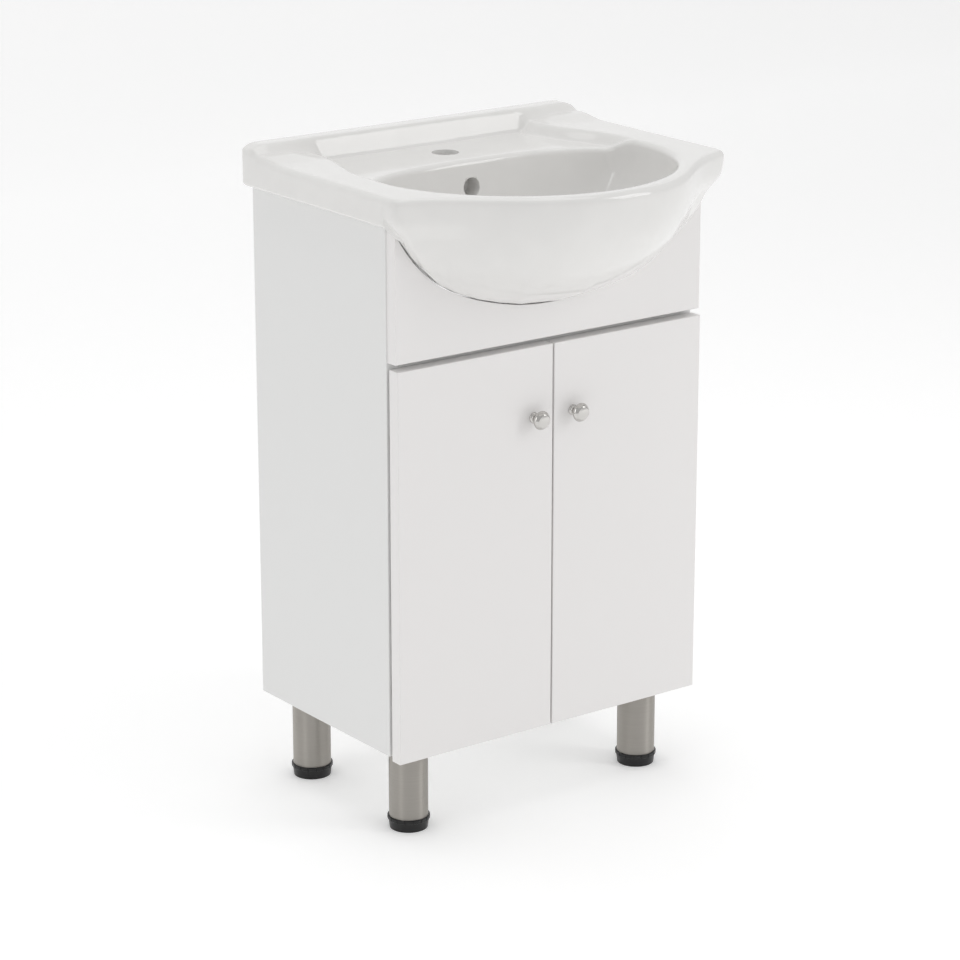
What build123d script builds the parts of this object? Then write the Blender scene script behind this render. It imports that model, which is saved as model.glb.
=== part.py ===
"""Bathroom vanity cabinet with a semi-recessed ceramic basin, on four adjustable legs.

Frame: millimetres, +Z up, -Y is the front, +X is the user's right. The origin is on the floor,
midway across the width and midway between the basin's front and the wall plane.
"""
from build123d import *
import os
from math import exp

os.makedirs("parts", exist_ok=True)

# ---- driving dimensions ----
OVERALL_DEPTH = 459.0      # wall plane to the middle of the basin's front
CABINET_WIDTH = 480.0
CABINET_DEPTH = 292.0
BOARD = 18.0               # thickness of every board
CARCASS_BOTTOM = 118.5     # height of the carcass underside above the floor
CARCASS_TOP = 801.0        # top edges of the side panels, under the sealant
FRONT_WIDTH = 476.8        # doors and fascia together, a little inside the side panels

FRONT_RAIL_Z = (600.0, 656.0)
TOP_RAIL_HEIGHT = 100.0
BOTTOM_RAIL_TOP = 120.0    # top of the rear bottom rail above the carcass underside

BACK_Y = OVERALL_DEPTH / 2
FRONT_Y = BACK_Y - CABINET_DEPTH
HALF = CABINET_WIDTH / 2
INNER = HALF - BOARD       # inner faces of the side panels
FRONT_HALF = FRONT_WIDTH / 2

# ---- fasteners of the carcass ----
CAM_R, CAM_DEPTH = 7.5, 12.5
CAM_FROM_END = 24.0        # cam centre to the end of its board
BOLT_R, BOLT_LENGTH, BOLT_IN_PANEL = 3.0, 27.0, 11.0
DOWEL_R, DOWEL_LENGTH, DOWEL_IN_PANEL = 4.0, 30.0, 12.0
DOWEL_BESIDE_BOLT = 32.0
RAIL_DOWEL_SPREAD = 22.0   # dowels above and below the bolt of a rear rail
FRONT_RAIL_DOWEL = 16.0    # dowels from the front rail's long edges
FASCIA_SCREW_X = (60.0, 180.0)
FASCIA_SCREW_Z, FASCIA_SCREW_LENGTH = 646.0, 30.0
LEG_SCREW_LENGTH = 15.0

# ---- doors ----
DOOR_BOTTOM = 113.2
DOOR_TOP = 621.8
DOOR_GAP = 2.4             # between the two doors
DOOR_REVEAL = 3.5          # door back to carcass
DOOR_BACK_Y = FRONT_Y - DOOR_REVEAL
DOOR_FRONT_Y = DOOR_BACK_Y - BOARD
DOOR_EDGE_R = 1.2
KNOB_X, KNOB_Z = 31.0, 530.5
BUMPER_R, BUMPER_HEIGHT = 4.5, 2.9
BUMPER_X, BUMPER_Z = (14.0, 200.0), 612.0

# ---- fascia ----
FASCIA_BOTTOM = 630.0
FASCIA_TOP = 799.5
FASCIA_FRONT_Y = FRONT_Y - BOARD
CUTOUT = [(0.0, 674.5), (49.0, 677.5), (82.0, 684.0), (113.0, 692.5), (146.0, 705.0),
          (175.0, 720.5), (206.0, 747.0), (228.5, 776.0), (240.5, 797.0)]

# ---- hinges ----
PIN_FROM_EDGE = 8.0        # pivot to the door's outer edge
PIN_Y = FRONT_Y - 12.0
PIN_X = FRONT_HALF - PIN_FROM_EDGE
PIN_R = 1.25
PIN_CLEARANCE = 0.05
PIN_HALF = 10.2            # half the pin's length
EYE_HALF = 5.5             # half the height of the arm's eye
CUP_X = FRONT_HALF - 20.5
CUP_R = 17.5
CUP_DEPTH = 12.0
CUP_WALL = 0.8
HINGE_HEIGHTS = {"lower": DOOR_BOTTOM + 90.0, "upper": DOOR_TOP - 90.0}
HINGE_SCREW_SPACING = 48.0
HINGE_SCREW_X = CUP_X - 9.5

# ---- legs ----
LEG_X = 187.0
LEG_Y = {"front": FRONT_Y + 34.5, "rear": FRONT_Y + 256.5}
TUBE_R = 25.2
TUBE_WALL = 1.2
FOOT_HEIGHT = 17.0
FOOT_RING_R = 27.4
FOOT_RING_HEIGHT = 5.0
FOOT_BASE_R = 24.5
FOOT_NOTCHES = 16
STEM_R = 7.0
STEM_TOP = 39.0
BUSH_TOP = 37.0
LEG_PLATE = 64.0
LEG_PLATE_THICKNESS = 2.5
LEG_SCREW_OFFSET = 25.0

# ---- shelf ----
SHELF_Z = 352.0
SHELF_PIN_R = 2.5
SHELF_PIN_Y = (FRONT_Y + 50.0, BACK_Y - 60.0)
SHELF_HOLE_PITCH = 64.0
SHELF_HOLE_DEPTH = 9.0
SHELF_PIN_LENGTH = 17.0

# ---- basin ----
BASIN_HALF = 258.0
BASIN_BOTTOM = 802.0       # underside of the apron
RIM_Z = 839.5
UPSTAND_TOP = 855.0
UPSTAND_DEPTH = 28.0
BOWL_Y = FRONT_Y + 50.0    # the bowl's widest line
RIM_REACH = 92.0           # rim in front of the bowl's widest line, at the corners
BOW_REACH = 125.0          # how much further the bow stands in the middle
BOW_SPREAD, BOW_POWER = 174.0, 2.95
CORNER = 13.0
BELLY_DEPTH, BELLY_POWER = 170.0, 1.9
BOWL_HALF, BOWL_FRONT, BOWL_BACK = 203.0, 193.0, 102.0
BOWL_DEPTH, BOWL_POWER = 142.0, 2.4
WALL = 12.0                # ceramic thickness
DECK_Z = 826.0
TAP_HOLE_R = 17.5
TAP_HOLE_Y = FRONT_Y + 208.0
WASTE_Y = BOWL_Y
WASTE_R = 22.5
BOSS_R = 38.0              # boss round the waste hole
BOSS_BELOW_BELLY = 6.0
BOWL_FLOOR = 14.0          # ceramic under the bowl's floor
OVERFLOW_R = 12.5
OVERFLOW_Z = 790.0


def block(x, y, z):
    """A box between pairs of limits."""
    size = (x[1] - x[0], y[1] - y[0], z[1] - z[0])
    centre = ((x[0] + x[1]) / 2, (y[0] + y[1]) / 2, (z[0] + z[1]) / 2)
    return Pos(*centre) * Box(*size)


def rod(radius, start, direction, length):
    """A cylinder that starts at a point and runs along a direction."""
    plane = Plane(origin=start, z_dir=direction)
    return plane * Cylinder(radius, length, align=(Align.CENTER, Align.CENTER, Align.MIN))


def screw(start, direction, length, shank_r=1.9, head_r=3.8, head_h=2.2):
    """A pan-head screw: the head's underside sits at start, the shank runs along direction."""
    back = -Vector(*direction)
    shank = rod(shank_r, start, direction, length)
    head = rod(head_r, start, tuple(back), head_h)
    slot_at = Vector(*start) + back * head_h
    cross = [Plane(origin=slot_at, z_dir=direction) * Box(*s) for s in ((4.0, 0.9, 2.2), (0.9, 4.0, 2.2))]
    return shank + head - cross[0] - cross[1]


def group(solids):
    """Separate solids kept together as one piece."""
    return Compound(children=[s for s in solids])


def both_sides(shape):
    """A shape modelled on the right, with its mirror image on the left."""
    return [shape, mirror(shape, about=Plane.YZ)]


def keep(name, shape):
    """Write one sub-part."""
    export_step(shape, f"parts/{name}.step")


# ---- fasteners, made first so that the boards can be drilled for them ----
def carcass_fasteners():
    """Cam locks, cam bolts and dowels at the ends of the horizontal boards."""
    middle = CARCASS_BOTTOM + BOARD / 2
    cam_x, bolt_x, dowel_x = INNER - CAM_FROM_END, INNER + BOLT_IN_PANEL, INNER + DOWEL_IN_PANEL
    cams, bolts, dowels = [], [], []

    def add_bolt(y, z):
        bolts.extend(both_sides(rod(BOLT_R, (bolt_x, y, z), (-1, 0, 0), BOLT_LENGTH)))

    def add_dowel(y, z):
        dowels.extend(both_sides(rod(DOWEL_R, (dowel_x, y, z), (-1, 0, 0), DOWEL_LENGTH)))

    for y in (FRONT_Y + 90.0, BACK_Y - 100.0):
        cams += both_sides(rod(CAM_R, (cam_x, y, CARCASS_BOTTOM + BOARD), (0, 0, -1), CAM_DEPTH))
        add_bolt(y, middle)
        add_dowel(y + DOWEL_BESIDE_BOLT, middle)
    for z in (CARCASS_TOP - 60.0, CARCASS_BOTTOM + 80.0):
        cams += both_sides(rod(CAM_R, (cam_x, BACK_Y - BOARD, z), (0, 1, 0), CAM_DEPTH))
        add_bolt(BACK_Y - BOARD / 2, z)
        for dz in (-RAIL_DOWEL_SPREAD, RAIL_DOWEL_SPREAD):
            add_dowel(BACK_Y - BOARD / 2, z + dz)
    for z in (FRONT_RAIL_Z[0] + FRONT_RAIL_DOWEL, FRONT_RAIL_Z[1] - FRONT_RAIL_DOWEL):
        add_dowel(FRONT_Y + BOARD / 2, z)
    return cams, bolts, dowels


CAMS, BOLTS, DOWELS = carcass_fasteners()
CAMS = [cam - BOLTS for cam in CAMS]

FASCIA_SCREWS = []
for screw_x in FASCIA_SCREW_X:
    start = (screw_x, FRONT_Y + BOARD, FASCIA_SCREW_Z)
    FASCIA_SCREWS += both_sides(screw(start, (0, -1, 0), FASCIA_SCREW_LENGTH))

LEGS = [(side * LEG_X, LEG_Y[row]) for row in ("front", "rear") for side in (-1, 1)]
LEG_NAMES = ["front_left", "front_right", "rear_left", "rear_right"]
LEG_SCREWS = [screw((x + dx, y + dy, CARCASS_BOTTOM - LEG_PLATE_THICKNESS), (0, 0, 1), LEG_SCREW_LENGTH)
              for x, y in LEGS for dx in (-LEG_SCREW_OFFSET, LEG_SCREW_OFFSET)
              for dy in (-LEG_SCREW_OFFSET, LEG_SCREW_OFFSET)]


# ---- carcass ----
def shelf_holes():
    """Rows of blind holes for the shelf pins, three heights at two depths."""
    levels = [SHELF_Z - SHELF_PIN_R + step * SHELF_HOLE_PITCH for step in (-1, 0, 1)]
    return [rod(SHELF_PIN_R, (INNER, y, z), (1, 0, 0), SHELF_HOLE_DEPTH) for y in SHELF_PIN_Y for z in levels]


def side_panel():
    """The right side panel, with its upright edges slightly eased and the shelf holes drilled."""
    panel = block((INNER, HALF), (FRONT_Y, BACK_Y), (CARCASS_BOTTOM, CARCASS_TOP))
    panel = chamfer(panel.edges().filter_by(Axis.Z), 0.6)
    for hole in shelf_holes():
        panel -= hole
    return panel


def carcass():
    """Boards of the carcass, drilled for their fasteners."""
    inner = (-INNER, INNER)
    rear = (BACK_Y - BOARD, BACK_Y)
    right = side_panel()
    boards = {
        "side_panel_right": right,
        "side_panel_left": mirror(right, about=Plane.YZ),
        "bottom_panel": block(inner, (FRONT_Y, BACK_Y), (CARCASS_BOTTOM, CARCASS_BOTTOM + BOARD)),
        "rear_top_rail": block(inner, rear, (CARCASS_TOP - TOP_RAIL_HEIGHT, CARCASS_TOP)),
        "rear_bottom_rail": block(inner, rear, (CARCASS_BOTTOM + BOARD, CARCASS_BOTTOM + BOTTOM_RAIL_TOP)),
        "front_rail": block(inner, (FRONT_Y, FRONT_Y + BOARD), FRONT_RAIL_Z),
    }
    return boards


def fascia():
    """The fixed front panel above the doors, cut out around the bowl."""
    y = (FASCIA_FRONT_Y, FRONT_Y)
    panel = block((-FRONT_HALF, FRONT_HALF), y, (FASCIA_BOTTOM, FASCIA_TOP))
    outline = [(-x, z) for x, z in CUTOUT[:0:-1]] + CUTOUT
    curve = Spline(*[(x, z) for x, z in outline])
    end_x, end_z = CUTOUT[-1]
    top = Polyline((end_x, end_z), (end_x, FASCIA_TOP + 20.0), (-end_x, FASCIA_TOP + 20.0), (-end_x, end_z))
    face = make_face(curve + top)
    cutter = extrude(Plane(origin=(0, FRONT_Y + 5.0, 0), x_dir=(1, 0, 0), z_dir=(0, -1, 0)) * face, 30.0)
    panel -= cutter
    lower = panel.edges().filter_by(Axis.X).group_by(Axis.Z)[0]
    return chamfer(lower.sort_by(Axis.Y)[:1], 0.8)


# ---- doors and knobs ----
def door():
    """The right door, bored for its hinge cups and its knob screw."""
    x = (DOOR_GAP / 2, FRONT_HALF)
    leaf = block(x, (DOOR_FRONT_Y, DOOR_BACK_Y), (DOOR_BOTTOM, DOOR_TOP))
    front = leaf.faces().sort_by(Axis.Y)[0]
    leaf = fillet(front.edges(), DOOR_EDGE_R)
    back = leaf.faces().sort_by(Axis.Y)[-1]
    leaf = fillet(back.edges(), DOOR_EDGE_R / 2)
    for z in HINGE_HEIGHTS.values():
        leaf -= rod(CUP_R, (CUP_X, DOOR_BACK_Y, z), (0, -1, 0), CUP_DEPTH)
    return leaf


def knob():
    """A turned knob: rosette, waisted neck and a domed head with a rounded rim."""
    rosette = Polyline((0, 10.0), (1.9, 10.0), (1.9, 0), (7.0, 0), (7.0, 1.6), (5.6, 2.6), (4.6, 4.5))
    neck = ThreePointArc((4.6, 4.5), (5.4, 10.2), (9.8, 14.2))
    rim = ThreePointArc((9.8, 14.2), (12.4, 17.0), (10.9, 20.4))
    dome = ThreePointArc((10.9, 20.4), (6.4, 22.5), (1.5, 23.3))
    middle = Polyline((1.5, 23.3), (0, 23.3), (0, 10.0))
    section = make_face(rosette + neck + rim + dome + middle)
    turned = revolve(Plane.XZ * section, Axis.Z)
    seat = Plane(origin=(KNOB_X, DOOR_FRONT_Y, KNOB_Z), x_dir=(1, 0, 0), z_dir=(0, -1, 0))
    return seat * turned


def knob_screw():
    """The machine screw that runs through the door into the knob."""
    return screw((KNOB_X, DOOR_BACK_Y, KNOB_Z), (0, -1, 0), BOARD + 10.0, head_h=2.0)


# ---- hinges, modelled on the right ----
def hinge_cup(z):
    """Pressed cup with a flange on the door's back face."""
    mouth = (CUP_X, DOOR_BACK_Y, z)
    cup = rod(CUP_R - 0.05, mouth, (0, -1, 0), CUP_DEPTH)
    flange = rod(CUP_R + 1.0, mouth, (0, 1, 0), 1.2)
    reach = HINGE_SCREW_SPACING / 2 + 6.0
    wings = block((HINGE_SCREW_X - 6.0, HINGE_SCREW_X + 7.0), (DOOR_BACK_Y, DOOR_BACK_Y + 1.2),
                  (z - reach, z + reach))
    wings = fillet(wings.edges().filter_by(Axis.Y), 4.0)
    well = rod(CUP_R - CUP_WALL, (CUP_X, DOOR_BACK_Y + 2.0, z), (0, -1, 0), CUP_DEPTH + 2.0 - CUP_WALL)
    ears = [block((PIN_X - 2.6, PIN_X + 8.0), (PIN_Y - 3.0, PIN_Y + 2.6), (z + low, z + low + 6.0)) & cup
            for low in (EYE_HALF + 0.7, -EYE_HALF - 6.7)]
    return cup + flange + wings - well + ears - hinge_pin(z)


def hinge_pin(z):
    """Pivot pin across the cup, held at both ends in the cup's wall."""
    return rod(PIN_R, (PIN_X, PIN_Y, z - PIN_HALF), (0, 0, 1), 2 * PIN_HALF)


def hinge_cup_screws(z):
    """The two short screws that hold the cup's wings to the door."""
    return [screw((HINGE_SCREW_X, DOOR_BACK_Y + 1.2, z + side * HINGE_SCREW_SPACING / 2), (0, -1, 0), 11.0,
                  shank_r=1.7, head_r=3.2, head_h=1.1) for side in (-1, 1)]


def hinge_arm(z):
    """Arm with an eye on the pin: it crosses the cup, turns out of its mouth and runs to the plate."""
    strip, half = 2.4, EYE_HALF
    crank_x = INNER - 10.0
    eye = rod(2.5, (PIN_X, PIN_Y, z - half), (0, 0, 1), 2 * half)
    across = block((crank_x, PIN_X), (PIN_Y - strip / 2, PIN_Y + strip / 2), (z - half, z + half))
    leg = block((crank_x, crank_x + strip), (PIN_Y - strip / 2, FRONT_Y + 20.0), (z - half, z + half))
    body = block((crank_x, INNER - 5.5), (FRONT_Y + 2.0, FRONT_Y + 66.0), (z - 8.0, z + 8.0))
    body = chamfer(body.edges().filter_by(Axis.Y).group_by(Axis.X)[0], 2.5)
    arm = eye + across + leg + body
    arm -= rod(PIN_R + PIN_CLEARANCE, (PIN_X, PIN_Y, z - 10.0), (0, 0, 1), 20.0)
    for y in (FRONT_Y + 26.0, FRONT_Y + 48.0):
        arm -= rod(3.0, (crank_x, y, z), (1, 0, 0), 2.5)
    return arm


def hinge_plate(z):
    """Cross-shaped mounting plate on the side panel's inner face."""
    base = block((INNER - 2.0, INNER), (FRONT_Y + 27.0, FRONT_Y + 45.0), (z - 26.0, z + 26.0))
    base = fillet(base.edges().filter_by(Axis.X), 5.0)
    saddle = block((INNER - 5.5, INNER), (FRONT_Y + 20.0, FRONT_Y + 62.0), (z - 7.0, z + 7.0))
    return base + saddle


def hinge_plate_screws(z):
    """The two screws that hold the mounting plate."""
    return [screw((INNER - 2.0, FRONT_Y + 37.0, z + side * 16.0), (1, 0, 0), 13.0) for side in (-1, 1)]


# ---- legs ----
def leg_plate(x, y):
    """Square plate under the bottom panel, with four screw holes."""
    half = LEG_PLATE / 2
    plate = block((x - half, x + half), (y - half, y + half),
                  (CARCASS_BOTTOM - LEG_PLATE_THICKNESS, CARCASS_BOTTOM))
    return fillet(plate.edges().filter_by(Axis.Z), 8.0)


def leg_tube(x, y):
    """Round tube from the plate down to the foot."""
    length = CARCASS_BOTTOM - LEG_PLATE_THICKNESS - FOOT_HEIGHT
    outside = rod(TUBE_R, (x, y, FOOT_HEIGHT), (0, 0, 1), length)
    return outside - rod(TUBE_R - TUBE_WALL, (x, y, FOOT_HEIGHT), (0, 0, 1), length)


def leg_bush(x, y):
    """Plug in the tube's lower end, with the hole that the foot's stem runs in."""
    body = rod(TUBE_R - TUBE_WALL, (x, y, FOOT_HEIGHT), (0, 0, 1), BUSH_TOP - FOOT_HEIGHT)
    return body - rod(STEM_R + PIN_CLEARANCE, (x, y, FOOT_HEIGHT - 1.0), (0, 0, 1), 30.0)


def foot(x, y):
    """Adjustable foot: tapered base, gripping ring with notches, and a stem up into the bush."""
    base = loft([Plane(origin=(x, y, 0.0)) * Circle(FOOT_BASE_R),
                 Plane(origin=(x, y, FOOT_HEIGHT - FOOT_RING_HEIGHT)) * Circle(FOOT_BASE_R + 1.6)])
    ring = rod(FOOT_RING_R, (x, y, FOOT_HEIGHT - FOOT_RING_HEIGHT), (0, 0, 1), FOOT_RING_HEIGHT)
    ring = fillet(ring.edges(), 0.8)
    notch = Pos(FOOT_RING_R, 0, FOOT_HEIGHT - 2.5) * Cylinder(0.9, 6.0)
    for step in range(FOOT_NOTCHES):
        ring -= Pos(x, y, 0) * Rot(0, 0, step * 360.0 / FOOT_NOTCHES) * notch
    stem = rod(STEM_R, (x, y, FOOT_HEIGHT - 1.0), (0, 0, 1), STEM_TOP - FOOT_HEIGHT + 1.0)
    return base + ring + stem


# ---- basin ----
def rim_front(x):
    """How far the rim stands in front of the bowl's widest line, at a distance x from the middle."""
    return RIM_REACH + BOW_REACH * exp(-(abs(x) / BOW_SPREAD) ** BOW_POWER)


def draw_in(depth, full_depth, power):
    """Superellipse law: how much smaller an outline is at a depth below the rim."""
    return (1.0 - (depth / full_depth) ** power) ** (1.0 / power)


def front_outline(half, y_scale, z, back=0.0):
    """Face of the basin's front at one height: straight sides, rounded corners and the bow."""
    k = half / BASIN_HALF
    inner = BASIN_HALF - CORNER

    def at(x, reach):
        return (x * k, BOWL_Y - reach * y_scale)

    steps = [inner - i * inner / 7.0 for i in range(15)]
    bow = Spline(*[at(x, rim_front(x)) for x in steps])
    corner_y = rim_front(BASIN_HALF) - CORNER
    mid = (BASIN_HALF - 0.27 * CORNER, rim_front(inner) - 0.27 * CORNER - 2.5)
    right = ThreePointArc(at(BASIN_HALF, corner_y), at(*mid), at(inner, rim_front(inner)))
    left = ThreePointArc(at(-inner, rim_front(inner)), at(-mid[0], mid[1]), at(-BASIN_HALF, corner_y))
    rest = Polyline(at(-BASIN_HALF, corner_y), (-half, BOWL_Y + back), (half, BOWL_Y + back),
                    at(BASIN_HALF, corner_y))
    return Pos(0, 0, z) * make_face(right + bow + left + rest)


def bowl_outline(half, front, back, z, scale):
    """Face of the bowl at one height: round at the front, flatter at the back."""
    points = []
    for x, y in ((0, -1.0), (0.42, -0.915), (0.75, -0.665), (0.945, -0.34), (1.0, 0.0),
                 (0.975, 0.42), (0.84, 0.79), (0.5, 0.965), (0, 1.0)):
        reach = front if y < 0 else back
        points.append((x * half * scale, BOWL_Y + y * reach * scale))
    loop = points + [(-x, y) for x, y in points[-2:0:-1]]
    return Pos(0, 0, z) * make_face(Spline(*loop, periodic=True))


def bowl_solid(grow, full_depth, top):
    """The bowl's shape, grown by a wall thickness, from its rim to its floor."""
    faces = [bowl_outline(BOWL_HALF + grow, BOWL_FRONT + grow, BOWL_BACK + grow, top, 1.0)]
    for part in (0.12, 0.3, 0.5, 0.7, 0.85, 0.95, 0.995):
        scale = draw_in(part, 1.0, BOWL_POWER)
        faces.append(bowl_outline(BOWL_HALF + grow, BOWL_FRONT + grow, BOWL_BACK + grow,
                                  RIM_Z - part * full_depth, scale))
    return loft(faces)


def belly():
    """The part of the basin that swells out in front of the fascia."""
    faces = []
    for part in (0.0, 0.12, 0.27, 0.44, 0.62, 0.78, 0.9, 0.97, 0.995):
        scale = draw_in(part, 1.0, BELLY_POWER)
        faces.append(front_outline((BASIN_HALF - 16.0) * scale, scale, RIM_Z - 3.0 - part * BELLY_DEPTH))
    swell = loft(faces) & block((-300, 300), (-400, FASCIA_FRONT_Y), (600, RIM_Z))
    section = swell.faces().sort_by(Axis.Y)[-1]
    return swell + extrude(section, BOARD - 1.0, dir=(0, 1, 0))


def overflow_duct(half, grow):
    """Duct from the overflow hole down the back of the bowl to the waste boss."""
    y, z = BOWL_Y, RIM_Z
    spine = [(y + 96.0 - grow, OVERFLOW_Z + 8.0 + grow), (y + 120.0 + grow, OVERFLOW_Z + 8.0 + grow),
             (y + 120.0 + grow, z - 95.0 - grow / 2), (y + 70.0 + grow / 2, z - 153.0 - grow),
             (y + 20.0 - grow, z - 153.0 - grow), (y + 20.0 - grow, z - 146.0 + grow),
             (y + 62.0 - grow / 2, z - 146.0 + grow), (y + 108.0 - grow, z - 92.0 + grow / 2),
             (y + 108.0 - grow, OVERFLOW_Z - 6.0 + grow), (y + 96.0 - grow, OVERFLOW_Z - 6.0 + grow)]
    section = make_face(Polyline(*spine, close=True))
    return extrude(Plane(origin=(-half, 0, 0), x_dir=(0, 1, 0), z_dir=(1, 0, 0)) * section, 2 * half)


def basin():
    """Ceramic basin: apron and rim, belly, bowl shell, deck, upstand, overflow and holes."""
    apron = loft([front_outline(BASIN_HALF, 0.972, BASIN_BOTTOM, back=BACK_Y - BOWL_Y),
                  front_outline(BASIN_HALF, 0.998, RIM_Z - 12.0, back=BACK_Y - BOWL_Y),
                  front_outline(BASIN_HALF, 1.0, RIM_Z, back=BACK_Y - BOWL_Y)])
    apron = fillet(apron.faces().sort_by(Axis.Z)[-1].edges().sort_by(Axis.Y)[:-1], 6.0)
    upstand = block((-BASIN_HALF, BASIN_HALF), (BACK_Y - UPSTAND_DEPTH, BACK_Y), (RIM_Z - 20.0, UPSTAND_TOP))
    upstand = fillet(upstand.edges().filter_by(Axis.X).group_by(Axis.Z)[-1].sort_by(Axis.Y)[:1], 9.0)
    upstand = fillet(upstand.edges().filter_by(Axis.Y).group_by(Axis.Z)[-1], 8.0)
    body = apron + upstand
    hollow = block((-INNER + 6.0, INNER - 6.0), (FRONT_Y + 40.0, BACK_Y - 26.0),
                   (BASIN_BOTTOM - 1.0, DECK_Z - WALL))
    body -= hollow
    body += bowl_solid(WALL, BOWL_DEPTH + BOWL_FLOOR, RIM_Z - 8.0) + belly()
    boss_bottom = RIM_Z - BELLY_DEPTH - BOSS_BELOW_BELLY
    body += rod(BOSS_R, (0, WASTE_Y, boss_bottom), (0, 0, 1), 45.0)
    body += overflow_duct(14.0, 6.0)
    deck = make_face(Polyline((-176, FRONT_Y + 246.0), (176, FRONT_Y + 246.0), (188, FRONT_Y + 174.0),
                              (206, FRONT_Y + 112.0), (BOWL_HALF - 8.0, BOWL_Y), (-BOWL_HALF + 8.0, BOWL_Y),
                              (-206, FRONT_Y + 112.0), (-188, FRONT_Y + 174.0), close=True))
    body -= extrude(Pos(0, 0, DECK_Z) * deck, 40.0)
    body -= bowl_solid(0.0, BOWL_DEPTH, RIM_Z + 1.0)
    body -= overflow_duct(8.0, 0.0)
    body -= rod(WASTE_R, (0, WASTE_Y, boss_bottom - 1.0), (0, 0, 1), 60.0)
    body -= rod(OVERFLOW_R, (0, BOWL_Y + 70.0, OVERFLOW_Z), (0, 1, 0), 45.0)
    body -= rod(TAP_HOLE_R, (0, TAP_HOLE_Y, DECK_Z - 30.0), (0, 0, 1), 60.0)
    return body


def sealant():
    """Bead of sealant on the top edges of the side panels and the rear rail."""
    z = (CARCASS_TOP, BASIN_BOTTOM)
    sides = both_sides(block((INNER + 3.0, HALF - 5.0), (FRONT_Y + 8.0, BACK_Y - 20.0), z))
    return sides + [block((-INNER, INNER), (BACK_Y - 13.0, BACK_Y - 5.0), z)]


# ---- shelf and small parts ----
SHELF_PINS = []
for pin_y in SHELF_PIN_Y:
    pin_z = SHELF_Z - SHELF_PIN_R
    pin = rod(SHELF_PIN_R, (INNER + SHELF_HOLE_DEPTH, pin_y, pin_z), (-1, 0, 0), SHELF_PIN_LENGTH)
    SHELF_PINS += both_sides(pin + rod(4.0, (INNER, pin_y, pin_z), (-1, 0, 0), 1.2)
                             - block((0, HALF), (pin_y - 9.0, pin_y + 9.0), (SHELF_Z, SHELF_Z + 9.0)))

SHELF = block((-INNER + 1.0, INNER - 1.0), (FRONT_Y + 30.0, BACK_Y - 40.0), (SHELF_Z, SHELF_Z + BOARD))
BUMPERS = [rod(BUMPER_R, (side * x, FRONT_Y, BUMPER_Z), (0, -1, 0), BUMPER_HEIGHT)
           for x in BUMPER_X for side in (-1, 1)]


# ---- assembly ----
def drilled(board, fasteners):
    """A board with the holes its fasteners sit in."""
    for fastener in fasteners:
        board -= fastener
    return board


PLATE_SCREWS, CUP_SCREWS, PINS = [], [], []
for hinge_z in HINGE_HEIGHTS.values():
    PLATE_SCREWS += hinge_plate_screws(hinge_z)
    CUP_SCREWS += hinge_cup_screws(hinge_z)
    PINS.append(hinge_pin(hinge_z))
KNOB_SCREW = knob_screw()

for name, board in carcass().items():
    hinge_screws = {"side_panel_right": PLATE_SCREWS,
                    "side_panel_left": [mirror(s, about=Plane.YZ) for s in PLATE_SCREWS]}.get(name, [])
    keep(name, drilled(board, CAMS + BOLTS + DOWELS + FASCIA_SCREWS + LEG_SCREWS + hinge_screws))
keep("fascia_panel", drilled(fascia(), FASCIA_SCREWS))
keep("shelf", SHELF)
keep("shelf_pins", group(SHELF_PINS))
keep("cam_locks", group(CAMS))
keep("cam_bolts", group(BOLTS))
keep("dowels", group(DOWELS))
keep("fascia_screws", group(FASCIA_SCREWS))
keep("leg_screws", group(LEG_SCREWS))
keep("door_bumpers", group(BUMPERS))
BASIN = basin()
keep("basin", BASIN)
keep("sealant_bead", group(sealant()))
keep("hinge_plate_screws", group([s for piece in PLATE_SCREWS for s in both_sides(piece)]))

for leg_name, (leg_x, leg_y) in zip(LEG_NAMES, LEGS):
    keep(f"leg_plate_{leg_name}", drilled(leg_plate(leg_x, leg_y), LEG_SCREWS))
    keep(f"leg_tube_{leg_name}", leg_tube(leg_x, leg_y))
    keep(f"leg_bush_{leg_name}", leg_bush(leg_x, leg_y))
    keep(f"foot_{leg_name}", foot(leg_x, leg_y))


def write_door_parts(side, place):
    """Write one door with its knob and hinges; place moves right-hand shapes to their side."""
    keep(f"door_{side}", place(drilled(door(), CUP_SCREWS + [KNOB_SCREW])))
    keep(f"knob_{side}", place(knob()))
    keep(f"knob_screw_{side}", place(KNOB_SCREW))
    keep(f"hinge_pins_{side}", group([place(pin) for pin in PINS]))
    keep(f"hinge_cup_screws_{side}", group([place(s) for s in CUP_SCREWS]))
    for level, z in HINGE_HEIGHTS.items():
        keep(f"hinge_cup_{level}_{side}", place(drilled(hinge_cup(z), CUP_SCREWS)))
        keep(f"hinge_arm_{level}_{side}", place(hinge_arm(z)))
        keep(f"hinge_plate_{level}_{side}", place(drilled(hinge_plate(z), PLATE_SCREWS)))


write_door_parts("right", lambda shape: shape)
write_door_parts("left", lambda shape: mirror(shape, about=Plane.YZ))
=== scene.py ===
# %% [markdown]
# # A bathroom vanity cabinet
# White board, glazed ceramic, chrome, brushed steel and black plastic: almost everything here is
# white, so the picture lives on edges, gaps and gloss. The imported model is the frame, every piece
# is in metres in that frame, and each finish is a small node tree made for one real material.

# %% Load the frame
import math

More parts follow.
